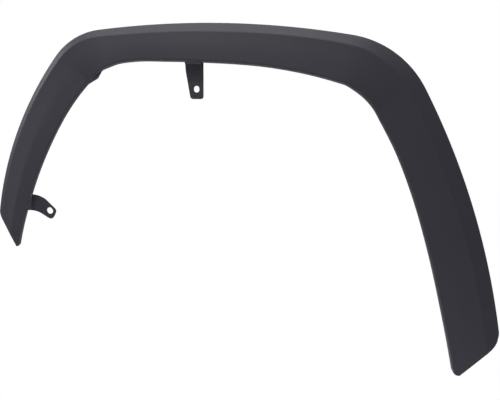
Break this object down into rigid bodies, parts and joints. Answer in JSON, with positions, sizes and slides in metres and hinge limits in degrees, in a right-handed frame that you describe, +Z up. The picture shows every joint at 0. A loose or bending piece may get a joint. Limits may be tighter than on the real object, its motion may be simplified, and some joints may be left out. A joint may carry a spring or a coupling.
{
  "type": "wheel arch trim",
  "caption": "One-piece moulded wheel-arch trim: a channel-section strip bent round a wheel opening, bevelled outside, with slotted screw tabs and clip seats behind.",
  "frame": {"origin": "centre of the top tab's slot, on the face that seats against the body", "axes": "+X along the car from the front leg to the rear leg, +Y inboard, +Z up"},
  "size_m": [0.8602, 0.0818, 0.6028],
  "materials": {
    "trim_plastic": "satin, finely grained, unpainted"
  },
  "bodies": {
    "root": {"wheel_arch_trim": "trim_plastic"}
  },
  "joints": []
}
